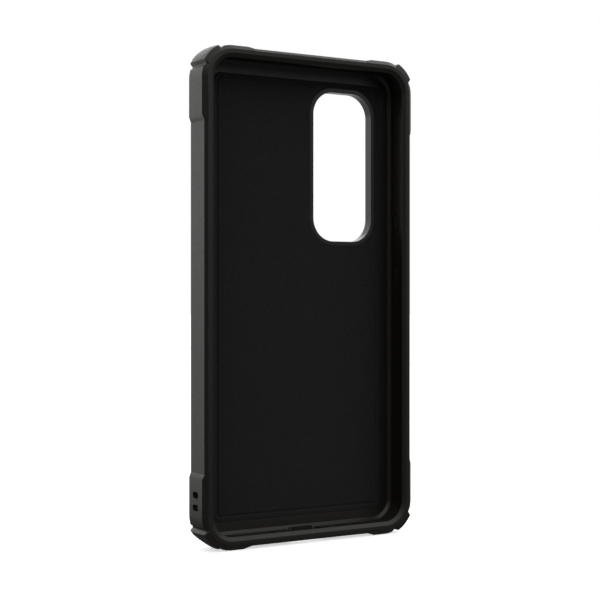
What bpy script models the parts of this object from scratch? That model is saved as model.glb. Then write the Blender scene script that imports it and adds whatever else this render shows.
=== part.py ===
"""A rugged phone case with separate corner bumpers, back plate, camera guard, liner and three sprung keys.

The case stands upright. X runs across it, Z up it, and Y from its open front (-Y) to its back (+Y).
The origin is at the middle of its base. Left and right are as seen from the front.
"""

import math

import bmesh
import bpy
from mathutils import Vector

MM = 0.001
GAP = 0.3 * MM  # between pieces that touch on the real case

# The handset that the case holds
PHONE_WIDTH = 75.9 * MM
PHONE_HEIGHT = 158.5 * MM
PHONE_DEPTH = 7.7 * MM

# Outer form of the frame, without the corner bumpers
WALL = 2.9 * MM
HALF_WIDTH = PHONE_WIDTH / 2 + WALL
HALF_HEIGHT = PHONE_HEIGHT / 2 + WALL
CORNER_RADIUS = 10.5 * MM
DEPTH = 11.7 * MM

# Screen lip, as distances in from the outer wall and back from the front
FRONT_CHAMFER = 0.91 * MM
LAND_INNER = 2.22 * MM
LIP_INNER = 3.55 * MM
LIP_SLOPE_DEPTH = 0.81 * MM
LIP_EDGE_DEPTH = 1.36 * MM
GLASS_DEPTH = 1.66 * MM

# Pocket and the ledge that carries the back plate and the liner
POCKET_FLOOR = GLASS_DEPTH + PHONE_DEPTH
POCKET_FILLET = 1.0 * MM
LEDGE_INNER = 7.2 * MM
LEDGE_THICKNESS = 0.8 * MM
REBATE_INNER = 5.2 * MM
BACK_CHAMFER = 1.0 * MM

# Corner bumpers: how proud of the plain wall their pads and diagonal horns stand
SIDE_RISE = 0.65 * MM
TOP_RISE = 0.5 * MM
BOTTOM_RISE = 0.95 * MM
NOTCH_RISE = 0.2 * MM
HORN_RISE = 1.25 * MM
HORN_CROWN = 0.3 * MM  # how far the horn's outer face bulges at half depth
HORN_FRONT = 0.55 * MM
HEEL_CUT = 1.1 * MM  # what the bottom horns lose at the rear of their lower end
SIDE_LENGTH = 24.7 * MM
SIDE_RAMP = 1.5 * MM  # length of the ramp at a pad's foot
TOP_PAD_END = 22.3 * MM
TOP_RAMP = 1.8 * MM
BOTTOM_PAD_END = 23.4 * MM
BOTTOM_RAMP = 2.3 * MM
SEAT_DEPTH = FRONT_CHAMFER  # the frame is set back this far under a bumper
FLANGE_INNER = 3.6 * MM
FLANGE_THICKNESS = 1.2 * MM
FOOT_RISE = 0.3 * MM
BACK_BEVEL = 1.3 * MM
HORN_BACK_BEVEL = 0.7 * MM

# Degrees round a bumper's corner from the flat of a pad, up to the middle of its horn
PAD_ANGLES = (0.0, 6.0, 12.0, 17.0)
NOTCH_ANGLES = (20.0, 24.0)
HORN_ANGLES = (27.4, 33.3, 39.2, 45.0)

# Share of the crown and of the heel cut at each step back across a horn's outer face
CROWN_STEPS = ((0.25, 0.8, 0.1), (0.5, 1.0, 0.35), (0.75, 0.8, 0.7))

# Back plate, liner and camera guard
PLATE_INNER = REBATE_INNER + GAP
PLATE_BEVEL = 0.4 * MM
LINER_THICKNESS = LEDGE_THICKNESS
WINDOW_X = 18.0 * MM
WINDOW_FROM_TOP = 36.6 * MM
WINDOW_WIDTH = 24.0 * MM
WINDOW_HEIGHT = 52.0 * MM
WINDOW_RADIUS = 8.0 * MM
GUARD_WALL = 1.5 * MM
GUARD_FLANGE = 3.5 * MM
GUARD_RISE = 2.0 * MM
GUARD_BEVEL = 0.5 * MM
GUARD_SETBACK = 0.1 * MM  # the guard's wall ends this far behind the liner's face
THROUGH = 2.0 * MM  # how far a cutter reaches past what it cuts

# Keys, measured from the top of the frame to each key's middle
KEY_DEPTH = GLASS_DEPTH + PHONE_DEPTH / 2
KEY_WIDTH = 4.4 * MM
KEY_PROUD = 0.5 * MM
KEY_THICKNESS = 1.4 * MM
WEB_OUTER = 1.4 * MM  # the thin wall behind a cap lies between these two depths
WEB_INNER = 1.8 * MM
STEM_SIZE = 1.4 * MM
STEM_RADIUS = 0.42 * MM
HEAD_OUTER = 2.25 * MM
HEAD_INNER = 2.8 * MM
HEAD_NARROWER = 0.8 * MM  # what the head lacks on each side of the cap's width
HEAD_SHORTER = 1.6 * MM  # and at each end of its length
KEY_BEVEL = 0.4 * MM
KEY_FLAT = 0.1 * MM  # what the round ends leave straight
KEYS = {
    "volume_up_key": (45.0 * MM, 9.0 * MM),
    "volume_down_key": (55.6 * MM, 9.0 * MM),
    "power_key": (75.0 * MM, 12.0 * MM),
}

# Lanyard slots in the lower left pad
SLOT_WIDTH = 3.9 * MM
SLOT_HEIGHT = 2.1 * MM
SLOT_PITCH = 4.15 * MM
SLOT_DEPTH = 6.0 * MM
SLOT_FROM_BOTTOM = 15.4 * MM
SLOT_RADIUS = 0.945 * MM

# Openings through the ends: x, end (-1 is the base), half sizes across and deep, corner radius
PORTS = {
    "charging": (0.0, -1, 6.8 * MM, 3.4 * MM, 3.2 * MM),
    "speaker": (17.5 * MM, -1, 5.0 * MM, 1.6 * MM, 1.5 * MM),
    "microphone": (-12.5 * MM, -1, 1.2 * MM, 1.2 * MM, 1.1 * MM),
    "top_microphone": (-10.0 * MM, 1, 1.2 * MM, 1.2 * MM, 1.1 * MM),
}

BASE_Z = HALF_HEIGHT + BOTTOM_RISE  # height of the case's middle above the surface it stands on
TOTAL_DEPTH = DEPTH + GUARD_RISE
FRONT_Y = -TOTAL_DEPTH / 2
ARC_STEP = 6.0  # degrees between the points of a round corner


def clear_scene():
    for obj in list(bpy.data.objects):
        bpy.data.objects.remove(obj, do_unlink=True)


def material(name, colour, roughness, metallic=0.0):
    made = bpy.data.materials.new(name)
    made.use_nodes = True
    shader = made.node_tree.nodes["Principled BSDF"]
    shader.inputs["Base Color"].default_value = (*colour, 1.0)
    shader.inputs["Roughness"].default_value = roughness
    shader.inputs["Metallic"].default_value = metallic
    return made


def object_from(bm, name, finish=None):
    """Turns a bmesh into a named object with closed, outward faces and smooth round stretches."""
    bmesh.ops.remove_doubles(bm, verts=bm.verts, dist=1e-7)
    bmesh.ops.recalc_face_normals(bm, faces=bm.faces)
    mesh = bpy.data.meshes.new(name)
    bm.to_mesh(mesh)
    bm.free()
    mesh.shade_smooth()
    mesh.set_sharp_from_angle(angle=math.radians(20))
    obj = bpy.data.objects.new(name, mesh)
    bpy.context.scene.collection.objects.link(obj)
    if finish:
        mesh.materials.append(finish)
    return obj


# Places on the outer wall's line, as ((x, z), (outward x, outward z)), in the top right quarter


def on_side(z):
    return (HALF_WIDTH, z), (1.0, 0.0)


def on_corner(degrees):
    turn = math.radians(degrees)
    out = (math.cos(turn), math.sin(turn))
    centre = (HALF_WIDTH - CORNER_RADIUS, HALF_HEIGHT - CORNER_RADIUS)
    return (centre[0] + CORNER_RADIUS * out[0], centre[1] + CORNER_RADIUS * out[1]), out


def on_end(x):
    return (x, HALF_HEIGHT), (0.0, 1.0)


def ring(station, flip_x=1, flip_z=1):
    """The 3-D points of one station: its section drawn at its place, mirrored into any quarter."""
    ((x, z), (out_x, out_z)), section = station
    points = []
    for out, depth in section:
        across, up = x + out_x * out, z + out_z * out
        points.append(Vector((flip_x * across, FRONT_Y + depth, BASE_Z + flip_z * up)))
    return points


def sweep(rings, closed):
    """Joins equal rings into one skin. An open sweep gets a cap at each end."""
    bm = bmesh.new()
    verts = [[bm.verts.new(p) for p in points] for points in rings]
    count = len(verts)
    for i in range(count if closed else count - 1):
        here, after = verts[i], verts[(i + 1) % count]
        for j in range(len(here)):
            k = (j + 1) % len(here)
            bm.faces.new((here[j], here[k], after[k], after[j]))
    if not closed:
        bm.faces.new(verts[0])
        bm.faces.new(verts[-1])
    return bm


def all_round(top, bottom):
    """The rings of a sweep through all four quarters, from the stations of a top and a bottom quarter."""
    rings = [ring(s) for s in top]
    rings += [ring(s, flip_x=-1) for s in reversed(top)]
    rings += [ring(s, flip_x=-1, flip_z=-1) for s in bottom]
    rings += [ring(s, flip_z=-1) for s in reversed(bottom)]
    return rings


def round_stations(half_a, half_b, radius):
    """Corner by corner, the centre and the direction of each point of a rounded rectangle about (0, 0)."""
    steps = round(90 / ARC_STEP)
    for corner, (sa, sb) in enumerate(((1, 1), (-1, 1), (-1, -1), (1, -1))):
        for i in range(steps + 1):
            turn = math.radians(90 * corner + i * 90 / steps)
            yield sa * (half_a - radius), sb * (half_b - radius), math.cos(turn), math.sin(turn)


def rounded_rectangle(half_a, half_b, radius):
    """The points of a rounded rectangle about (0, 0)."""
    return [(a + radius * ca, b + radius * sb) for a, b, ca, sb in round_stations(half_a, half_b, radius)]


def loft(axis, centre, layers):
    """A solid of rounded rectangles stacked along an axis: each layer is (place, half_a, half_b, radius)."""
    bm = bmesh.new()
    rings = []
    for place, half_a, half_b, radius in layers:
        points = []
        for a, b in rounded_rectangle(half_a, half_b, radius):
            local = {"X": (place, a, b), "Y": (a, place, b), "Z": (a, b, place)}[axis]
            points.append(bm.verts.new(Vector(centre) + Vector(local)))
        rings.append(points)
    for here, after in zip(rings, rings[1:]):
        for j in range(len(here)):
            k = (j + 1) % len(here)
            bm.faces.new((here[j], here[k], after[k], after[j]))
    bm.faces.new(rings[0])
    bm.faces.new(rings[-1])
    return bm


def cut(target, bm, name):
    """Takes a solid away from target."""
    cutter = object_from(bm, name)
    cutter.hide_render = True
    cutter.display_type = "WIRE"
    difference = target.modifiers.new(name, "BOOLEAN")
    difference.operation = "DIFFERENCE"
    difference.solver = "EXACT"
    difference.object = cutter


def frame_section(seated):
    """The frame's section as (distance out from the outer wall, distance back from the front)."""
    seat_back = DEPTH + FOOT_RISE - FLANGE_THICKNESS - GAP
    shared = [
        (-LAND_INNER, 0.0),
        (-LIP_INNER, LIP_SLOPE_DEPTH),
        (-LIP_INNER, LIP_EDGE_DEPTH),
        (-WALL, GLASS_DEPTH),
        (-WALL, POCKET_FLOOR - POCKET_FILLET),
        (-WALL - POCKET_FILLET, POCKET_FLOOR),
        (-LEDGE_INNER, POCKET_FLOOR),
        (-LEDGE_INNER, POCKET_FLOOR + LEDGE_THICKNESS),
        (-REBATE_INNER, POCKET_FLOOR + LEDGE_THICKNESS),
        (-REBATE_INNER, DEPTH),
        (-FLANGE_INNER - GAP, DEPTH),
    ]
    if seated:
        back, front = (-SEAT_DEPTH, seat_back), (-SEAT_DEPTH, 0.0)
        return shared + [(-FLANGE_INNER - GAP, seat_back), back, back, front, front]
    return shared + [
        (-FLANGE_INNER - GAP, DEPTH),
        (-BACK_CHAMFER, DEPTH),
        (0.0, DEPTH - BACK_CHAMFER),
        (0.0, FRONT_CHAMFER),
        (-FRONT_CHAMFER, 0.0),
    ]


def frame_quarter(pad_end):
    """Stations from one side to one end, set back where a corner bumper sits."""
    pad_z = HALF_HEIGHT - SIDE_LENGTH
    arc = [on_corner(i * ARC_STEP) for i in range(round(90 / ARC_STEP) + 1)]
    quarter = [(on_side(pad_z), frame_section(False)), (on_side(pad_z), frame_section(True))]
    quarter += [(place, frame_section(True)) for place in arc]
    quarter += [(on_end(pad_end), frame_section(True)), (on_end(pad_end), frame_section(False))]
    return quarter


def make_frame(finish):
    rings = all_round(frame_quarter(TOP_PAD_END), frame_quarter(BOTTOM_PAD_END))
    return object_from(sweep(rings, closed=True), "bumper_frame", finish)


def bumper_section(rise, front=None, crown=0.0, bevel=BACK_BEVEL, heel=0.0):
    """A bumper's section: a wall outside the frame and a flange over its back."""
    inner = -SEAT_DEPTH + GAP
    back = DEPTH + FOOT_RISE
    front = rise - inner if front is None else front
    depth = back - bevel - front
    face = [(rise + up * crown - down * heel, front + share * depth) for share, up, down in CROWN_STEPS]
    return [
        (inner, 0.0),
        (rise, front),
        *face,
        (rise - heel, back - bevel),
        (rise - heel - bevel, back),
        (-FLANGE_INNER, back),
        (-FLANGE_INNER, back - FLANGE_THICKNESS),
        (inner, back - FLANGE_THICKNESS),
    ]


def bumper_quarter(end_rise, pad_end, ramp, heel):
    """Stations of a bumper from the foot of its side pad, round the corner, to the foot of its end pad."""
    pad_z = HALF_HEIGHT - SIDE_LENGTH + GAP
    pad_x = pad_end + GAP
    foot, notch = bumper_section(0.0), bumper_section(NOTCH_RISE)
    pads = [bumper_section(SIDE_RISE), bumper_section(end_rise)]
    stations = [(on_side(pad_z), foot), (on_side(pad_z + SIDE_RAMP), pads[0])]
    stations += [(on_corner(angle), pads[0]) for angle in PAD_ANGLES]
    stations += [(on_corner(angle), notch) for angle in NOTCH_ANGLES]
    for angle in HORN_ANGLES + tuple(90.0 - a for a in reversed(HORN_ANGLES[:-1])):
        share = (angle - HORN_ANGLES[0]) / (90.0 - 2 * HORN_ANGLES[0])
        horn = bumper_section(HORN_RISE, HORN_FRONT, HORN_CROWN, HORN_BACK_BEVEL, heel * share)
        stations.append((on_corner(angle), horn))
    stations += [(on_corner(90.0 - angle), notch) for angle in reversed(NOTCH_ANGLES)]
    stations += [(on_corner(90.0 - angle), pads[1]) for angle in reversed(PAD_ANGLES)]
    stations += [(on_end(pad_x + ramp), pads[1]), (on_end(pad_x), foot)]
    return stations


def make_bumpers(finish):
    quarters = {
        "top": (1, bumper_quarter(TOP_RISE, TOP_PAD_END, TOP_RAMP, 0.0)),
        "bottom": (-1, bumper_quarter(BOTTOM_RISE, BOTTOM_PAD_END, BOTTOM_RAMP, HEEL_CUT)),
    }
    made = {}
    for end, (flip_z, quarter) in quarters.items():
        for side, flip_x in (("left", -1), ("right", 1)):
            name = f"corner_bumper_{end}_{side}"
            rings = [ring(s, flip_x, flip_z) for s in quarter]
            made[name] = object_from(sweep(rings, closed=False), name, finish)
    return made


def cut_lanyard_slots(frame, bumper):
    """Two slots through the lower left pad and the wall behind it, joined by a groove in the pocket."""
    z = BASE_Z - HALF_HEIGHT + SLOT_FROM_BOTTOM
    y = FRONT_Y + SLOT_DEPTH
    half_a, half_b = SLOT_WIDTH / 2, SLOT_HEIGHT / 2
    for name, shift in (("lower", -SLOT_PITCH / 2), ("upper", SLOT_PITCH / 2)):
        layers = [(-WALL, half_a, half_b, SLOT_RADIUS), (2 * WALL, half_a, half_b, SLOT_RADIUS)]
        for target in (frame, bumper):
            cut(target, loft("X", (-HALF_WIDTH, y, z + shift), layers), f"slot_{name}_{target.name}_cutter")
    reach = SLOT_PITCH / 2 + half_b
    layers = [(WALL * 0.75, half_a, reach, SLOT_RADIUS), (WALL * 1.5, half_a, reach, SLOT_RADIUS)]
    cut(frame, loft("X", (-HALF_WIDTH, y, z), layers), "lanyard_groove_cutter")


def make_key(name, from_top, length, finish):
    """Cap, stem and inner head in one solid. Its origin is on its line of travel."""
    z = BASE_Z + HALF_HEIGHT - from_top
    half_w, half_l, stem = KEY_WIDTH / 2, length / 2, STEM_SIZE / 2
    top_w, top_l = half_w - KEY_BEVEL, half_l - KEY_BEVEL
    head_w, head_l = half_w - HEAD_NARROWER, half_l - HEAD_SHORTER
    back = KEY_PROUD - KEY_THICKNESS
    layers = [
        (KEY_PROUD, top_w, top_l, top_w - KEY_FLAT),
        (KEY_PROUD - KEY_BEVEL, half_w, half_l, half_w - KEY_FLAT),
        (back, half_w, half_l, half_w - KEY_FLAT),
        (back, stem, 2 * stem, STEM_RADIUS),
        (-HEAD_OUTER, stem, 2 * stem, STEM_RADIUS),
        (-HEAD_OUTER, head_w, head_l, head_w - KEY_FLAT),
        (-HEAD_INNER, head_w, head_l, head_w - KEY_FLAT),
    ]
    key = object_from(loft("X", (0.0, 0.0, 0.0), layers), name, finish)
    key.location = (HALF_WIDTH, FRONT_Y + KEY_DEPTH, z)
    return key


def cut_key_window(frame, name, from_top, length):
    """A pocket in the outer wall for the cap, one in the inner wall for the head, and a hole for the stem."""
    centre = (HALF_WIDTH, FRONT_Y + KEY_DEPTH, BASE_Z + HALF_HEIGHT - from_top)
    half_w, half_l = KEY_WIDTH / 2 + GAP, length / 2 + GAP
    head_w, head_l = half_w - HEAD_NARROWER, half_l - HEAD_SHORTER
    stem_w, stem_l = STEM_SIZE / 2 + GAP, STEM_SIZE + GAP
    cap = [(place, half_w, half_l, half_w - KEY_FLAT) for place in (-WEB_OUTER, WALL)]
    head = [(place, head_w, head_l, head_w - KEY_FLAT) for place in (-1.5 * WALL, -WEB_INNER)]
    hole = [(place, stem_w, stem_l, STEM_RADIUS + GAP) for place in (-WEB_INNER - GAP, -WEB_OUTER + GAP)]
    for part, layers in (("cap", cap), ("head", head), ("stem", hole)):
        cut(frame, loft("X", centre, layers), f"{name}_{part}_cutter")


def cut_ports(frame):
    """Charging window and speaker slot in the base, a microphone hole in the base and one in the top."""
    y = FRONT_Y + KEY_DEPTH
    for name, (x, end, half_a, half_b, radius) in PORTS.items():
        layers = [(place, half_a, half_b, radius) for place in (-2 * WALL, 2 * WALL)]
        cut(frame, loft("Z", (x, y, BASE_Z + end * HALF_HEIGHT), layers), f"{name}_port_cutter")


def window_centre():
    return WINDOW_X, BASE_Z + HALF_HEIGHT - WINDOW_FROM_TOP


def window_cutter():
    """The hole for the camera guard's wall, through the plate and the liner."""
    x, z = window_centre()
    room = GUARD_WALL + GAP
    size = (WINDOW_WIDTH / 2 + room, WINDOW_HEIGHT / 2 + room, WINDOW_RADIUS + room)
    return loft("Y", (x, FRONT_Y, z), [(POCKET_FLOOR - THROUGH, *size), (DEPTH + THROUGH, *size)])


def make_sheet(name, inset, layers, finish):
    """A flat piece inside the frame: layers are (depth, how much smaller than inset)."""
    stack = [
        (depth, HALF_WIDTH - inset - less, HALF_HEIGHT - inset - less, CORNER_RADIUS - inset - less)
        for depth, less in layers
    ]
    sheet = object_from(loft("Y", (0.0, FRONT_Y, BASE_Z), stack), name, finish)
    cut(sheet, window_cutter(), f"{name}_window_cutter")
    return sheet


def make_guard(finish):
    """The ring that lines the camera window, with a raised flange behind the back plate."""
    x, z = window_centre()
    start, back, end = POCKET_FLOOR + GUARD_SETBACK, DEPTH + GAP, DEPTH + GUARD_RISE
    section = [
        (0.0, start), (0.0, end - GUARD_BEVEL), (GUARD_BEVEL, end),
        (GUARD_FLANGE - GUARD_BEVEL, end), (GUARD_FLANGE, end - GUARD_BEVEL), (GUARD_FLANGE, back),
        (GUARD_WALL, back), (GUARD_WALL, start),
    ]
    rings = []
    for a, b, out_x, out_z in round_stations(WINDOW_WIDTH / 2, WINDOW_HEIGHT / 2, WINDOW_RADIUS):
        points = []
        for out, depth in section:
            reach = WINDOW_RADIUS + out
            points.append(Vector((x + a + reach * out_x, FRONT_Y + depth, z + b + reach * out_z)))
        rings.append(points)
    return object_from(sweep(rings, closed=True), "camera_guard", finish)


def main():
    clear_scene()
    soft = material("soft_elastomer", (0.045, 0.043, 0.040), 0.62)
    armour = material("tough_elastomer", (0.050, 0.048, 0.045), 0.58)
    hard = material("matt_polycarbonate", (0.040, 0.039, 0.037), 0.50)
    suede = material("microfibre", (0.018, 0.018, 0.019), 0.95)

    frame = make_frame(soft)
    bumpers = make_bumpers(armour)
    cut_lanyard_slots(frame, bumpers["corner_bumper_bottom_left"])
    cut_ports(frame)
    for name, (from_top, length) in KEYS.items():
        cut_key_window(frame, name, from_top, length)
        make_key(name, from_top, length, hard)

    liner_back = POCKET_FLOOR + LEDGE_THICKNESS
    plate = [(liner_back + GAP, 0.0), (DEPTH - PLATE_BEVEL, 0.0), (DEPTH, PLATE_BEVEL)]
    make_sheet("back_plate", PLATE_INNER, plate, hard)
    make_sheet("liner", LEDGE_INNER + GAP, [(liner_back - LINER_THICKNESS, 0.0), (liner_back, 0.0)], suede)
    make_guard(hard)


main()
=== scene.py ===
# %% [markdown]
# # A rugged phone case
# The case is one dark warm grey all over, so the eye reads it by its edges, by the fine texture that the
# moulds leave on it, and by what it mirrors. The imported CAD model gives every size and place. This lesson
# makes the looks: softened edges, tight joints, a relief on the back, a suede lining and the keys' marks.

# %% Load the frame
import math

import bmesh
import bpy
from mathutils import Matrix, Vector


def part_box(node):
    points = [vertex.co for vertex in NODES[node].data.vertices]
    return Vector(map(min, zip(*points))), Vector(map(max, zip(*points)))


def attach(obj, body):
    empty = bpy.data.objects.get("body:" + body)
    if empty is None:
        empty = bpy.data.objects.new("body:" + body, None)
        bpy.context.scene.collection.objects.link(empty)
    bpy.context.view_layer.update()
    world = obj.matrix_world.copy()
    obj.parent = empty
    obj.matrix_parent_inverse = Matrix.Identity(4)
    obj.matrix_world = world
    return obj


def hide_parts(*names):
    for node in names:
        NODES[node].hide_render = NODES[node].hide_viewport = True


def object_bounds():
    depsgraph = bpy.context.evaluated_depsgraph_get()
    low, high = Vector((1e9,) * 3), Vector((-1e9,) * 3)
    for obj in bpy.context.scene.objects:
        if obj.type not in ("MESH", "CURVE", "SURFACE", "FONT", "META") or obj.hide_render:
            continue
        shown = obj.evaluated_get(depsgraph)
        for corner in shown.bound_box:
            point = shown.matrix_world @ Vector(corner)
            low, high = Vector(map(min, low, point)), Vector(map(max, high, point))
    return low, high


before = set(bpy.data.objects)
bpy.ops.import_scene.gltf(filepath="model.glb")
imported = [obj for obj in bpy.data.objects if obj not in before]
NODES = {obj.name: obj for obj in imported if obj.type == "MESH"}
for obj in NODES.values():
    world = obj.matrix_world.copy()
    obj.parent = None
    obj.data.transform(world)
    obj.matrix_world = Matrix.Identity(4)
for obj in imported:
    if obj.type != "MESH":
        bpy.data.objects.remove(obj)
cad_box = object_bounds()
MM = 0.001
print("CAD nodes:", len(NODES), "overall:", [round(x / MM, 1) for x in cad_box[1] - cad_box[0]], "mm")

# %% [markdown]
# ## Picking by place
# An operator works on whatever is selected, so each step first says what that is. Faces are picked by
# where their middle is and which way they look, edges by their two ends and by how sharply they fold.

# %% Helpers that select
def only(obj):
    """Makes obj the one selected and active object, in object mode."""
    if bpy.context.object and bpy.context.object.mode != "OBJECT":
        bpy.ops.object.mode_set(mode="OBJECT")
    bpy.ops.object.select_all(action="DESELECT")
    bpy.context.view_layer.objects.active = obj
    obj.select_set(True)


def edit(obj):
    """Opens obj for editing, alone."""
    only(obj)
    bpy.ops.object.mode_set(mode="EDIT")


def done():
    bpy.ops.object.mode_set(mode="OBJECT")


def pick_faces(obj, test):
    """Selects the faces for which test(middle, normal) is true, and says how many."""
    bpy.ops.mesh.select_mode(type="FACE")
    bpy.ops.mesh.select_all(action="DESELECT")
    mesh = bmesh.from_edit_mesh(obj.data)
    found = [f for f in mesh.faces if test(f.calc_center_median(), f.normal)]
    for face in found:
        face.select_set(True)
    bmesh.update_edit_mesh(obj.data)
    return len(found)


def pick_edges(obj, test):
    """Selects the edges for which test(one end, other end, fold in degrees) is true."""
    bpy.ops.mesh.select_mode(type="EDGE")
    bpy.ops.mesh.select_all(action="DESELECT")
    mesh = bmesh.from_edit_mesh(obj.data)
    ends = [(e, e.verts[0].co, e.verts[1].co) for e in mesh.edges]
    found = [e for e, a, b in ends if test(a, b, math.degrees(e.calc_face_angle(0.0)))]
    for edge in found:
        edge.select_set(True)
    bmesh.update_edit_mesh(obj.data)
    return len(found)


print(len(bpy.context.selected_objects), "objects are selected after loading, so a step never trusts that")

# %% [markdown]
# ## Shapes to start from
# Most pieces of a phone case are flat with round corners. A cube whose four edges along one axis are
# bevelled gives that, with the corner radius as the bevel's width. Holes are cut with such slabs too.

# %% Helpers that make and cut
MERGE_WITHIN, FLAT_WITHIN = 0.002 * MM, math.radians(0.5)


def slab(name, low, high, radius, axis="Y", steps=14):
    """A block with its corners rounded about one axis."""
    low, high = Vector(low), Vector(high)
    bpy.ops.mesh.primitive_cube_add(size=1, location=(low + high) / 2, scale=high - low)
    obj = bpy.context.object
    obj.name = obj.data.name = name
    bpy.ops.object.transform_apply(location=True, rotation=False, scale=True)
    across = [i for i in range(3) if i != "XYZ".index(axis)]
    edit(obj)
    pick_edges(obj, lambda a, b, fold: all(abs(a[i] - b[i]) < 1e-6 for i in across))
    bpy.ops.mesh.bevel(offset=radius, segments=steps, affect="EDGES")
    done()
    return obj


def split_at(obj, x):
    """Adds edges where the mesh crosses a plane at x, so that a hole there is no hole within one face."""
    edit(obj)
    bpy.ops.mesh.select_all(action="SELECT")
    bpy.ops.mesh.bisect(plane_co=(x, 0, 0), plane_no=(1, 0, 0))
    done()
    return obj


def combine(obj, tool, operation="DIFFERENCE"):
    """Cuts tool out of obj, or joins it on, and removes tool."""
    only(obj)
    step = obj.modifiers.new("combine", "BOOLEAN")
    step.operation, step.solver, step.object = operation, "EXACT", tool
    bpy.ops.object.modifier_apply(modifier=step.name)
    bpy.data.objects.remove(tool)


def soften(obj, test, width, steps=3):
    """Rounds the edges that pass the test."""
    edit(obj)
    count = pick_edges(obj, test)
    bpy.ops.mesh.bevel(offset=width, segments=steps, affect="EDGES", clamp_overlap=False)
    done()
    return count


def merged_copy(node, name):
    """A clean copy of a CAD node: its loose triangles joined, and flat faces whole again."""
    obj = bpy.data.objects.new(name, NODES[node].data.copy())
    bpy.context.scene.collection.objects.link(obj)
    edit(obj)
    bpy.ops.mesh.select_all(action="SELECT")
    bpy.ops.mesh.remove_doubles(threshold=MERGE_WITHIN)
    bpy.ops.mesh.dissolve_limited(angle_limit=FLAT_WITHIN)
    done()
    return obj


print("loose triangles of the frame:", len(NODES["bumper_frame"].data.polygons))

# %% [markdown]
# ## Materials
# The frame and the bumpers are thermoplastic urethane, the plate, guard and keys are polycarbonate, and
# both come out of moulds that spark erosion has given a fine grain. The grain is what makes them matt: it
# breaks up the mirror image without hiding it. One function turns the sRGB colours of a colour picker
# into the linear numbers that the shader wants, and one adds a node with its settings and its links.

# %% Helpers for materials
def linear(hex_colour):
    """#rrggbb as linear red, green, blue and alpha."""
    values = [int(hex_colour[i:i + 2], 16) / 255 for i in (1, 3, 5)]
    return [v / 12.92 if v <= 0.04045 else ((v + 0.055) / 1.055) ** 2.4 for v in values] + [1.0]


def new_material(name):
    """A material and its main shader."""
    material = bpy.data.materials.new(name)
    material.use_nodes = True
    return material, material.node_tree.nodes["Principled BSDF"]


def add(material, kind, links=(), settings=(), **inputs):
    """Adds a node. links are (input, from node, output); settings are (property, value)."""
    node = material.node_tree.nodes.new(kind)
    for key, value in dict(settings).items():
        setattr(node, key, value)
    for key, value in inputs.items():
        node.inputs[key.replace("_", " ")].default_value = value
    for socket, source, output in links:
        material.node_tree.links.new(source.outputs[output], node.inputs[socket])
    return node


def link(material, source, output, node, socket):
    """Joins two nodes that are already there."""
    material.node_tree.links.new(source.outputs[output], node.inputs[socket])


CLOUD = 9 * MM  # size of the slow drift between the two colours
BLEND_A, BLEND_B = 6, 7  # the colour sockets of a Mix node, which share one name


def moulded(name, dark, light, roughness, grain, depth, sheen=0.0):
    """A moulded plastic: grain is the texture's spacing and depth its height, in metres."""
    material, shader = new_material(name)
    place = add(material, "ShaderNodeTexCoord")
    spots = [("Vector", place, "Object")]
    flow = add(material, "ShaderNodeTexNoise", spots, Scale=1 / CLOUD, Detail=3.0, Roughness=0.55)
    tint = add(material, "ShaderNodeMix", [("Factor", flow, "Fac")], [("data_type", "RGBA")])
    tint.inputs[BLEND_A].default_value, tint.inputs[BLEND_B].default_value = linear(dark), linear(light)
    link(material, tint, 2, shader, "Base Color")
    pits = add(material, "ShaderNodeTexNoise", spots, Scale=1 / grain, Detail=4.0, Roughness=0.6)
    cells = add(material, "ShaderNodeTexVoronoi", spots, Scale=0.7 / grain)
    height = add(material, "ShaderNodeMath", [(0, pits, "Fac"), (1, cells, "Distance")],
                 [("operation", "ADD")])
    relief = add(material, "ShaderNodeBump", [("Height", height, 0)], Strength=0.5, Distance=depth)
    link(material, relief, "Normal", shader, "Normal")
    gloss = add(material, "ShaderNodeMapRange", [("Value", pits, "Fac")], From_Min=0.3, From_Max=0.7,
                To_Min=roughness - 0.05, To_Max=roughness + 0.07)
    link(material, gloss, "Result", shader, "Roughness")
    shader.inputs["IOR"].default_value = 1.5
    shader.inputs["Sheen Weight"].default_value = sheen
    return material


print("half-bright sRGB grey is", round(linear("#808080")[0], 3), "in linear light")

# %% [markdown]
# ### Urethane and polycarbonate
# Spark-eroded grain has a spacing of about 0.1 mm. That is too fine to show here, so it is drawn at about
# 0.8 mm. The urethane is a little rougher than the polycarbonate, and the bumpers' grain is the coarsest.
# The camera guard is polished to a satin. The lining's suede is a nap of microfibre: it mirrors nothing and
# has a faint sheen. Every colour is nearly black, and what lightens the case is the studio in its surface.

# %% The case's finishes
urethane = moulded("fine_grain_urethane", "#161410", "#1c1a15", 0.40, 0.75 * MM, 0.020 * MM)
armour = moulded("coarse_grain_urethane", "#171510", "#1e1c17", 0.38, 0.85 * MM, 0.026 * MM)
shell = moulded("spark_eroded_polycarbonate", "#161511", "#1c1b17", 0.36, 0.80 * MM, 0.024 * MM)
satin = moulded("satin_polycarbonate", "#121211", "#181817", 0.27, 0.60 * MM, 0.002 * MM)
keycap = moulded("matt_key_polycarbonate", "#1b1a17", "#21201c", 0.40, 0.60 * MM, 0.014 * MM)
suede = moulded("microfibre_suede", "#0b0b0c", "#121213", 0.90, 0.70 * MM, 0.050 * MM, sheen=0.08)
print("finishes:", ", ".join(m.name for m in (urethane, armour, shell, satin, keycap, suede)))

# %% [markdown]
# ## Putting a piece in its place
# Each finished piece is shaded smooth where its faces meet at less than 32 degrees. A weighted normal
# then keeps the big flat faces flat beside their small rounded edges. The piece takes its material, hides
# the plain CAD solid that it stands for, and rides on the same body.

# %% Finishing helper
SMOOTH_BELOW = math.radians(32)


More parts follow.
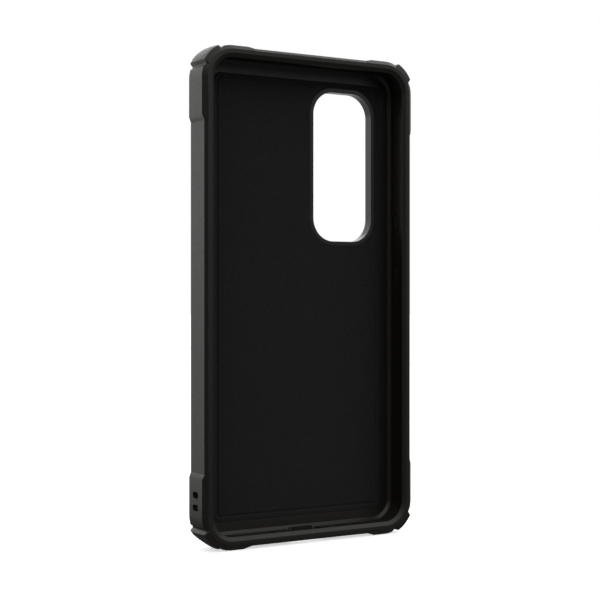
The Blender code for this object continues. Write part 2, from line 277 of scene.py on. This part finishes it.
def finish_piece(obj, material, body, slot, *nodes):
    """Shades a shaped piece, gives it its material and puts it in the place of its CAD nodes."""
    only(obj)
    bpy.ops.object.shade_smooth_by_angle(angle=SMOOTH_BELOW)
    obj.modifiers.new("flat faces", "WEIGHTED_NORMAL").keep_sharp = True
    bpy.ops.object.modifier_apply(modifier="flat faces")
    obj.data.materials.clear()
    obj.data.materials.append(material)
    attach(obj, body)
    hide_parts(*nodes)
    size = obj.dimensions / MM
    print(f"{obj.name}: {len(obj.data.polygons)} faces, {size.x:.1f} x {size.y:.1f} x {size.z:.1f} mm")


print(f"folds of less than {math.degrees(SMOOTH_BELOW):.0f} degrees are shaded smooth")

# %% [markdown]
# ## The frame
# The soft frame holds the handset. Its screen lip has a narrow flat land, with a chamfer outside it and a
# slope inside it, and its back has a ledge and a rebate for the plate. It could be swept again from that
# section, but the CAD solid already has every port, window and seat in its true place. So a copy of it is
# merged, and the knife edges, which no mould can make, are rounded. The land stays square where a bumper
# meets it, because the two are moulded in one tool and only a hairline shows between them.

# %% Frame
FRAME_LOW, FRAME_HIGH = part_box("bumper_frame")
FRONT = FRAME_LOW.y
FRAME_EDGE = 0.14 * MM
JOINT_NEAR = 0.32 * MM  # just more than the gap that the CAD pieces keep
END_PAD_RISE = (14 * MM, 30 * MM)  # where an end pad lies, in height from its side pad's foot
CORNERS = [(end, side) for end in ("top", "bottom") for side in ("left", "right")]
BUMPERS = {f"{end}_{side}_bumper": f"corner_bumper_{end}_{side}" for end, side in CORNERS}


def in_front_plane(a, b):
    """Whether an edge lies in the plane of the frame's front."""
    return max(a.y, b.y) < FRONT + 0.02 * MM


def feet(node):
    """Where a bumper's two pads end: the height of the side pad's foot and the x of the end pad's."""
    low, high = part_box(node)
    return (low.z if "top" in node else high.z), (high.x if "left" in node else low.x)


FEET = {node: feet(node) for node in BUMPERS.values()}


def at_foot(a, b):
    """Whether an edge lies in the joint at a pad's foot."""
    for node, (z, x) in FEET.items():
        same_side = (a.x < 0) == ("left" in node)
        if same_side and max(abs(a.z - z), abs(b.z - z)) < JOINT_NEAR:
            return True
        on_end_pad = END_PAD_RISE[0] < abs(a.z - z) < END_PAD_RISE[1]
        if on_end_pad and max(abs(a.x - x), abs(b.x - x)) < JOINT_NEAR:
            return True
    return False


def frame_edge(a, b, fold):
    """Whether an edge of the frame is to be rounded."""
    meets_bumper = fold > 80 and in_front_plane(a, b) or at_foot(a, b)
    return fold > 25 and (a - b).length > 0.45 * MM and not meets_bumper


moulded_frame = merged_copy("bumper_frame", "moulded_frame")
print(soften(moulded_frame, frame_edge, FRAME_EDGE), "edges rounded")
finish_piece(moulded_frame, urethane, "case", "soft_elastomer", "bumper_frame")

# %% [markdown]
# ## Corner bumpers
# Each bumper is a raised pad on the side, a notch, a diagonal horn, a notch and a pad on the end. The CAD
# solids stand 0.3 mm off the frame, and real ones are moulded onto it. The faces that look at the frame
# are picked by their normals, which point at the middle of the case, and pushed along them with shrink
# and fatten. That closes the joint to a hairline. It is done before the edges are rounded.

# %% Bumper joint
CORNER_RADIUS = 10.5 * MM
HALF_WIDTH = FRAME_HIGH.x
HALF_HEIGHT = (FRAME_HIGH.z - FRAME_LOW.z) / 2
MIDDLE_Z = FRAME_LOW.z + HALF_HEIGHT
FACE_NEAR = 0.05 * MM
CLOSED_BY = 0.26 * MM


def outward(point):
    """The direction away from the case's wall at a point near it, in the plane of the screen."""
    x, z = point.x, point.z - MIDDLE_Z
    core_x, core_z = HALF_WIDTH - CORNER_RADIUS, HALF_HEIGHT - CORNER_RADIUS
    nearest = Vector((max(-core_x, min(core_x, x)), 0, max(-core_z, min(core_z, z))))
    return (Vector((x, 0, z)) - nearest).normalized()


def close_joint(obj, node, distance):
    """Pushes a bumper's inner faces, and the faces at its two feet, against the frame."""
    z, x = FEET[node]
    edit(obj)
    inner = pick_faces(obj, lambda middle, normal: normal.dot(outward(middle)) < -0.85)
    bpy.ops.transform.shrink_fatten(value=distance, use_even_offset=True)
    ends = pick_faces(obj, lambda middle, normal: abs(normal.z) > 0.95 and abs(middle.z - z) < FACE_NEAR
                      or abs(normal.x) > 0.95 and abs(middle.x - x) < FACE_NEAR)
    bpy.ops.transform.shrink_fatten(value=distance, use_even_offset=True)
    done()
    return inner, ends


print(f"frame: {2 * HALF_WIDTH / MM:.1f} x {2 * HALF_HEIGHT / MM:.1f} mm")

# %% [markdown]
# ## Knurl
# The broad face of each horn is knurled, for grip. The faces there are cut into cells of about 0.7 mm and
# each is poked up to a low pyramid. A bump map could draw the same points, but the knurl also has to
# break up the horn's outline, so it is real shape.

# %% Knurl
HORN_FROM, HORN_TO = 27.4, 62.6  # in degrees round the corner from the side
HORN_PROUD = 0.5 * MM
KNURL_HEIGHT = 0.14 * MM
STILL_FLAT = 12  # the fold, in degrees, between faces of one broad face


def is_horn(point, margin):
    """Whether a point is on a horn's broad face, by its angle round the corner and how proud it stands."""
    x = abs(point.x) - (HALF_WIDTH - CORNER_RADIUS)
    z = abs(point.z - MIDDLE_Z) - (HALF_HEIGHT - CORNER_RADIUS)
    if x <= 0 or z <= 0 or math.hypot(x, z) < CORNER_RADIUS + HORN_PROUD:
        return False
    return HORN_FROM + margin < math.degrees(math.atan2(z, x)) < HORN_TO - margin


def cut_cells(obj, wanted, cuts):
    """Cuts the edges of a horn's broad face whose length in depth is wanted."""
    edit(obj)
    pick_edges(obj, lambda a, b, fold: is_horn((a + b) / 2, -0.5) and fold < STILL_FLAT
               and (a - b).length > 0.6 * MM and wanted(abs(a.y - b.y)))
    bpy.ops.mesh.subdivide(number_cuts=cuts)
    done()


def knurl(obj):
    """Cuts a horn's broad face into cells and pokes them."""
    cut_cells(obj, lambda in_depth: in_depth > 1.2 * MM, 2)
    cut_cells(obj, lambda in_depth: in_depth < 0.3 * MM, 1)
    edit(obj)
    count = pick_faces(obj, lambda middle, normal: is_horn(middle, 2.0)
                       and normal.dot(outward(middle)) > 0.93)
    bpy.ops.mesh.poke(offset=KNURL_HEIGHT, use_relative_offset=False)
    done()
    return count


print(f"horns go from {HORN_FROM} to {HORN_TO} degrees, knurl {KNURL_HEIGHT / MM:.2f} mm high")

# %% [markdown]
# ## The four bumpers
# All four go the same way: the joint is closed, the horn is knurled and the edges are rounded. Rounding
# pushes a few points out past the front of the frame by a hair, so they are put back in its plane.

# %% Bumpers
BUMPER_EDGE = 0.15 * MM


def bumper_edge(a, b, fold):
    """Whether an edge of a bumper is to be rounded."""
    long_enough = (a - b).length > 0.3 * MM
    return fold > 25 and long_enough and not in_front_plane(a, b) and not at_foot(a, b)


for piece, node in BUMPERS.items():
    bumper = merged_copy(node, piece)
    joint = close_joint(bumper, node, CLOSED_BY)
    points = knurl(bumper)
    rounded = soften(bumper, bumper_edge, BUMPER_EDGE)
    for vertex in bumper.data.vertices:
        vertex.co.y = max(vertex.co.y, FRONT)
    print(joint, "joint faces,", points, "knurl points,", rounded, "rounded edges")
    finish_piece(bumper, armour, "case", "tough_elastomer", node)

# %% [markdown]
# ## Back plate
# The hard plate closes the back. It is a slab with round corners and a panel sunk into its lower half.
# The panel could be an inset face, but a cut with a second slab gives it round corners of its own. The
# slab grows by most of the gap that the CAD plate keeps, so that only a fine seam shows round it. It is
# split down the middle of the camera window, which is cut last.

# %% Back plate
SEAM = 0.24 * MM
PLATE_RADIUS = 5.0 * MM
PANEL_SINK, PANEL_RADIUS = 0.45 * MM, 5.0 * MM
PANEL_SIDE, PANEL_END = 6 * MM, 9 * MM  # the panel's distance from the plate's sides and ends
plate_low, plate_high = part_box("back_plate")
grow = Vector((SEAM, 0, SEAM))
guard_low, guard_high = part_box("camera_guard")
WINDOW_X = (guard_low.x + guard_high.x) / 2
back_cover = slab("back_cover", plate_low - grow, plate_high + grow, PLATE_RADIUS + SEAM)
split_at(back_cover, WINDOW_X)


def block_behind(name, x, z, sink, radius, reach=1.0 * MM):
    """A slab that reaches from `sink` below the plate's back face to behind it."""
    return slab(name, (x[0], plate_high.y - sink, z[0]), (x[1], plate_high.y + reach, z[1]), radius)


panel_x = (plate_low.x + PANEL_SIDE, plate_high.x - PANEL_SIDE)
panel_z = (plate_low.z + PANEL_END, guard_low.z - PANEL_END)
combine(back_cover, block_behind("panel", panel_x, panel_z, PANEL_SINK, PANEL_RADIUS))
print(f"panel: {(panel_x[1] - panel_x[0]) / MM:.1f} x {(panel_z[1] - panel_z[0]) / MM:.1f} mm")

# %% [markdown]
# ### Border groove
# A fine groove runs round the plate, a little in from its edge. Its cutter is a slab with a smaller slab
# taken out of it, which leaves a frame.

# %% Border groove
GROOVE_INSET, GROOVE_WIDTH, GROOVE_SINK = 2.4 * MM, 0.7 * MM, 0.3 * MM
CORE_RADIUS = 2.0 * MM
outer_x = (plate_low.x + GROOVE_INSET, plate_high.x - GROOVE_INSET)
outer_z = (plate_low.z + GROOVE_INSET, plate_high.z - GROOVE_INSET)
inner_x = (outer_x[0] + GROOVE_WIDTH, outer_x[1] - GROOVE_WIDTH)
inner_z = (outer_z[0] + GROOVE_WIDTH, outer_z[1] - GROOVE_WIDTH)
groove = block_behind("groove", outer_x, outer_z, GROOVE_SINK, PLATE_RADIUS - GROOVE_INSET)
combine(groove, block_behind("groove_core", inner_x, inner_z, 2 * MM, CORE_RADIUS, reach=3 * MM))
combine(back_cover, split_at(groove, WINDOW_X))
print("plate with its groove:", len(back_cover.data.polygons), "faces")

# %% [markdown]
# ### Grip ribs
# Slanted ribs stand in the panel. One is modelled and turned, and an array repeats it. The rows are then
# trimmed by an intersection to an outline just past the panel's walls, and joined to the plate. So each
# rib runs into the wall at both ends, as a moulded rib does.

# %% Grip ribs
RIB_WIDTH, RIB_PITCH, RIB_SLANT, RIB_DROP = 2.6 * MM, 6.2 * MM, 32.0, 0.12 * MM
RIB_ROOT = 0.2 * MM  # how far a rib goes down into the panel's floor
RIB_REACH = 60 * MM  # half a rib's length before it is trimmed
RIB_COUNT = 19
BITE = 0.4 * MM  # how far the ribs go into the panel's walls
rib_base = plate_high.y - PANEL_SINK - RIB_ROOT
middle_x, middle_z = sum(panel_x) / 2, sum(panel_z) / 2
ribs = slab("ribs", (-RIB_REACH, rib_base, middle_z - RIB_WIDTH / 2),
            (RIB_REACH, plate_high.y - RIB_DROP, middle_z + RIB_WIDTH / 2), 0.4 * MM, steps=3)
turn = Matrix.Rotation(math.radians(RIB_SLANT), 4, "Y")
pivot = Matrix.Translation((middle_x, 0, middle_z))
ribs.data.transform(pivot @ turn @ pivot.inverted())
array = ribs.modifiers.new("rows", "ARRAY")
array.count = RIB_COUNT
array.use_relative_offset = False
array.use_constant_offset = True
array.constant_offset_displace = (0, 0, RIB_PITCH)
only(ribs)
bpy.ops.object.modifier_apply(modifier="rows")
ribs.data.transform(Matrix.Translation((0, 0, -RIB_PITCH * (RIB_COUNT - 1) / 2)))
trim_x = (panel_x[0] - BITE, panel_x[1] + BITE)
trim_z = (panel_z[0] - BITE, panel_z[1] + BITE)
combine(ribs, block_behind("trim", trim_x, trim_z, PANEL_SINK + 1 * MM, PANEL_RADIUS + BITE), "INTERSECT")
combine(back_cover, ribs, "UNION")
print(RIB_COUNT, "rows of ribs, plate now", len(back_cover.data.polygons), "faces")

# %% [markdown]
# ### Camera window
# The window is cut to the outline of the guard's wall, and the same cutter serves the lining later. Then
# every edge that is left sharp is rounded, and the plate is finished.

# %% Window and edges
FLANGE = 2.0 * MM  # how far the guard's flange reaches past its wall
WALL_RADIUS = 9.5 * MM
PLATE_EDGE = 0.11 * MM


def window(name, room, low_y, high_y):
    """A cutter of the outline of the guard's wall, with some room all round."""
    inset = Vector((FLANGE - room, 0, FLANGE - room))
    low, high = guard_low + inset, guard_high - inset
    return slab(name, (low.x, low_y, low.z), (high.x, high_y, high.z), WALL_RADIUS + room)


combine(back_cover, window("window", 0.05 * MM, plate_low.y - 1 * MM, plate_high.y + 1 * MM))
rounded = soften(back_cover, lambda a, b, fold: fold > 40 and (a - b).length > 0.2 * MM, PLATE_EDGE)
print(rounded, "edges rounded")
finish_piece(back_cover, shell, "case", "matt_polycarbonate", "back_plate")

# %% [markdown]
# ## Camera guard
# The guard is a turned-over ring in the window: its wall lines the hole and its flange stands proud of
# the back, so that the lenses never touch a table. A shallow groove runs round the flange. It is made by
# two insets of the flange's flat ring, the second one pressed in.

# %% Camera guard
GUARD_EDGE = 0.16 * MM
guard = merged_copy("camera_guard", "camera_guard_ring")
edit(guard)
flange_back = guard_high.y - FACE_NEAR
flat = pick_faces(guard, lambda middle, normal: normal.y > 0.99 and middle.y > flange_back)
bpy.ops.mesh.inset(thickness=0.55 * MM, depth=0.0, use_even_offset=True)
bpy.ops.mesh.inset(thickness=0.18 * MM, depth=-0.25 * MM, use_even_offset=True)
done()
rounded = soften(guard, lambda a, b, fold: fold > 25 and a.y < guard_high.y, GUARD_EDGE)
print(flat, "flange faces,", rounded, "edges rounded")
finish_piece(guard, satin, "case", "guard_polycarbonate", "camera_guard")

# %% [markdown]
# ## Suede lining
# A microfibre sheet lies flush in the ledge, so that the handset's glass rests on something soft. Heat
# presses a channel round its border, which stops the edge from fraying. The front face is inset four
# times: in to the channel, down its slope, across its floor, and up again to the middle.

# %% Lining
LINING_RADIUS, LINING_EDGE = 3.0 * MM, 0.10 * MM
CHANNEL = ((1.3, 0.0), (0.25, -0.25), (0.55, 0.0), (0.25, 0.25))  # width and rise of each inset, in mm
lining_low, lining_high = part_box("liner")
lining = slab("suede_lining", lining_low - grow, lining_high + grow, LINING_RADIUS + SEAM)
split_at(lining, WINDOW_X)
edit(lining)
pick_faces(lining, lambda middle, normal: normal.y < -0.99)
for width, rise in CHANNEL:
    bpy.ops.mesh.inset(thickness=width * MM, depth=rise * MM)
done()
combine(lining, window("lining_window", -0.03 * MM, lining_low.y - 1 * MM, lining_high.y + 1 * MM))
rounded = soften(lining, lambda a, b, fold: fold > 30 and (a - b).length > 0.1 * MM, LINING_EDGE)
print(rounded, "edges rounded")
finish_piece(lining, suede, "case", "microfibre", "liner")

# %% [markdown]
# ## Keys
# Three hard caps stand in the frame's right wall and are pressed inwards. Grooves across them tell the
# fingers which is which: five on the power key and three on each volume key. Each is cut by a thin slab.

# %% Keys
MARK_PITCH, MARK_WIDTH, MARK_DEPTH, MARK_RADIUS = 1.25 * MM, 0.5 * MM, 0.28 * MM, 0.2 * MM
MARK_INSET = 1.1 * MM  # what a groove leaves of the cap's width on each side
KEY_EDGE = 0.12 * MM
for key, marks in (("volume_up_key", 3), ("volume_down_key", 3), ("power_key", 5)):
    low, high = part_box(key)
    cap = merged_copy(key, f"{key}_cap")
    soften(cap, lambda a, b, fold: fold > 25 and (a - b).length > 0.25 * MM, KEY_EDGE)
    for i in range(marks):
        z = (low.z + high.z) / 2 + (i - (marks - 1) / 2) * MARK_PITCH
        combine(cap, slab("mark", (high.x - MARK_DEPTH, low.y + MARK_INSET, z - MARK_WIDTH / 2),
                          (high.x + 1 * MM, high.y - MARK_INSET, z + MARK_WIDTH / 2),
                          MARK_RADIUS, axis="X", steps=4))
    finish_piece(cap, keycap, key, "key_polycarbonate", key)

# %% [markdown]
# ## Camera
# A rather long lens stands in front of the case and to its left, level with its middle. It is far enough
# away to keep the uprights nearly parallel, and near enough that the near side looks taller.

# %% Camera
LENS = 82.16
CAMERA_AZIMUTH = -31.13
CAMERA_DISTANCE = 469.3 * MM
SIDEWAYS = -0.93 * MM
CAMERA_RISE, AIM_DROP = 0.09 * MM, 0.95 * MM


def toward(azimuth, elevation):
    """A direction seen from the case: azimuth 0 is in front of it, 90 is to its right."""
    turn, rise = math.radians(azimuth), math.radians(elevation)
    return Vector((math.sin(turn) * math.cos(rise), -math.cos(turn) * math.cos(rise), math.sin(rise)))


data = bpy.data.cameras.new("camera")
data.lens = LENS
data.clip_start = 0.01
camera = bpy.data.objects.new("camera", data)
bpy.context.scene.collection.objects.link(camera)
middle = Vector((0, 0, MIDDLE_Z)) + toward(CAMERA_AZIMUTH + 90, 0) * SIDEWAYS
aim = middle - Vector((0, 0, AIM_DROP))
camera.location = middle + toward(CAMERA_AZIMUTH, 0) * CAMERA_DISTANCE + Vector((0, 0, CAMERA_RISE))
camera.rotation_mode = "QUATERNION"
camera.rotation_quaternion = (aim - camera.location).to_track_quat("-Z", "Y")
bpy.context.scene.camera = camera
print("camera at", [round(x / MM) for x in camera.location], "mm, lens", LENS, "mm")

# %% [markdown]
# ## Soft boxes
# Two weak lamps stand high up behind the case and to its right. They pick out the edges that the wall of
# light on the left doesn't reach.

# %% Lights
CASE_MIDDLE = (cad_box[0] + cad_box[1]) / 2


def softbox(name, azimuth, elevation, distance, size, power):
    """A soft light that faces the middle of the case."""
    data = bpy.data.lights.new(name, "AREA")
    data.shape = "RECTANGLE"
    data.size = data.size_y = size
    data.energy = power
    light = bpy.data.objects.new(name, data)
    bpy.context.scene.collection.objects.link(light)
    away = toward(azimuth, elevation)
    light.location = CASE_MIDDLE + away * distance
    light.rotation_mode = "QUATERNION"
    light.rotation_quaternion = away.to_track_quat("Z", "Y")
    light.visible_camera = False


softbox("back_right_box", 155, 35, 1.1, 0.7, 2.0)
softbox("right_box", 100, 48, 1.1, 0.5, 1.0)

# %% [markdown]
# ## Surroundings
# A dark matt object shows what surrounds it. Here that is a bright soft wall behind it and to the left,
# a ceiling, weaker glows on the right, and nothing at the camera's own side. Each glow is strongest in
# one direction and fades with the angle from it. The camera itself sees plain white, so the two are kept
# apart by the kind of ray. The walls could be real lit panels, but this way none can get into a view.

# %% World
WHITE = (1, 1, 1, 1)
SMOOTH = [("interpolation_type", "SMOOTHSTEP")]
GLOWS = {  # azimuth and elevation, cosine where it starts, cosine where it is full, strength
    "wall": (-163, 6, 0.50, 0.90, 1.28),
    "back_right": (138, 4, 0.70, 0.97, 0.75),
    "right": (92, 10, 0.66, 0.98, 0.30),
    "front_right": (35, 8, 0.60, 1.0, 0.42),
}
world = bpy.data.worlds.new("studio")
world.use_nodes = True
bpy.context.scene.world = world
way = add(world, "ShaderNodeTexCoord")
axes = add(world, "ShaderNodeSeparateXYZ", [("Vector", way, "Generated")])
glows = {}
for name, (azimuth, elevation, start, full, strength) in GLOWS.items():
    closeness = add(world, "ShaderNodeVectorMath", [(0, way, "Generated")], [("operation", "DOT_PRODUCT")])
    closeness.inputs[1].default_value = toward(azimuth, elevation)
    glows[name] = add(world, "ShaderNodeMapRange", [("Value", closeness, "Value")], SMOOTH,
                      From_Min=start, From_Max=full, To_Max=strength)
ceiling = add(world, "ShaderNodeMapRange", [("Value", axes, "Z")], SMOOTH, From_Min=0.10, From_Max=0.72)
foot = add(world, "ShaderNodeMapRange", [("Value", axes, "Z")], SMOOTH, From_Min=-0.72, From_Max=0.30)
glow = add(world, "ShaderNodeMath", [(0, glows["wall"], 0), (1, foot, 0)], [("operation", "MULTIPLY")])
for other in (ceiling, glows["back_right"], glows["right"]):
    glow = add(world, "ShaderNodeMath", [(0, glow, 0), (1, other, 0)], [("operation", "MAXIMUM")])
glow = add(world, "ShaderNodeMath", [(0, glow, 0), (1, glows["front_right"], 0)], [("operation", "ADD")])
felt = add(world, "ShaderNodeBackground", [("Strength", glow, 0)], Color=WHITE)
seen = world.node_tree.nodes["Background"]
seen.inputs["Color"].default_value = WHITE
ray = add(world, "ShaderNodeLightPath")
either = add(world, "ShaderNodeMixShader", [(0, ray, "Is Camera Ray"), (1, felt, 0), (2, seen, 0)])
link(world, either, 0, world.node_tree.nodes["World Output"], "Surface")
bpy.context.scene.view_settings.view_transform = "Standard"
print("glows:", ", ".join(GLOWS), "and a ceiling")

# %% [markdown]
# ## Floor
# The case stands on a wide disc of white paper that melts into the white round it. The paper also glows a
# little, so that it clips to white and keeps only a trace of shadow. To every other ray the paper is only a
# glow, painted light in place of lit paper: its mirror image and that glow are what light the case from
# below. The glow is weaker in front of the case, as painted shade where the paper would lie in shade.

# %% Floor
FLOOR_RADIUS = 6.0
PAPER_GLOW = 0.60
only(moulded_frame)
bpy.ops.object.select_all(action="DESELECT")
bpy.ops.mesh.primitive_circle_add(vertices=96, radius=FLOOR_RADIUS, fill_type="NGON", location=(0, 0, 0))
floor = bpy.context.object
floor.name = "floor"
paper, paper_shader = new_material("pale_paper")
paper_shader.inputs["Base Color"].default_value = linear("#f4f4f2")
paper_shader.inputs["Roughness"].default_value = 0.9
paper_shader.inputs["Specular IOR Level"].default_value = 0.0
paper_shader.inputs["Emission Color"].default_value = WHITE
paper_shader.inputs["Emission Strength"].default_value = PAPER_GLOW
place = add(paper, "ShaderNodeTexCoord")
behind = add(paper, "ShaderNodeSeparateXYZ", [("Vector", place, "Object")])
# Painted shade: the glow that other rays see rises from weak in front of the case to strong behind it.
shade = add(paper, "ShaderNodeMapRange", [("Value", behind, "Y")], SMOOTH,
            From_Min=0.0, From_Max=0.14, To_Min=0.12, To_Max=0.66)
# The paper as other rays see it is this glow alone, painted light in place of lit paper.
painted_bounce_glow = add(paper, "ShaderNodeEmission", [("Strength", shade, "Result")])
ray = add(paper, "ShaderNodeLightPath")
both = add(paper, "ShaderNodeMixShader", [(0, ray, "Is Camera Ray"), (1, painted_bounce_glow, 0), (2, paper_shader, 0)])
link(paper, both, 0, paper.node_tree.nodes["Material Output"], "Surface")
floor.data.materials.append(paper)
print("floor:", FLOOR_RADIUS * 2, "m across")
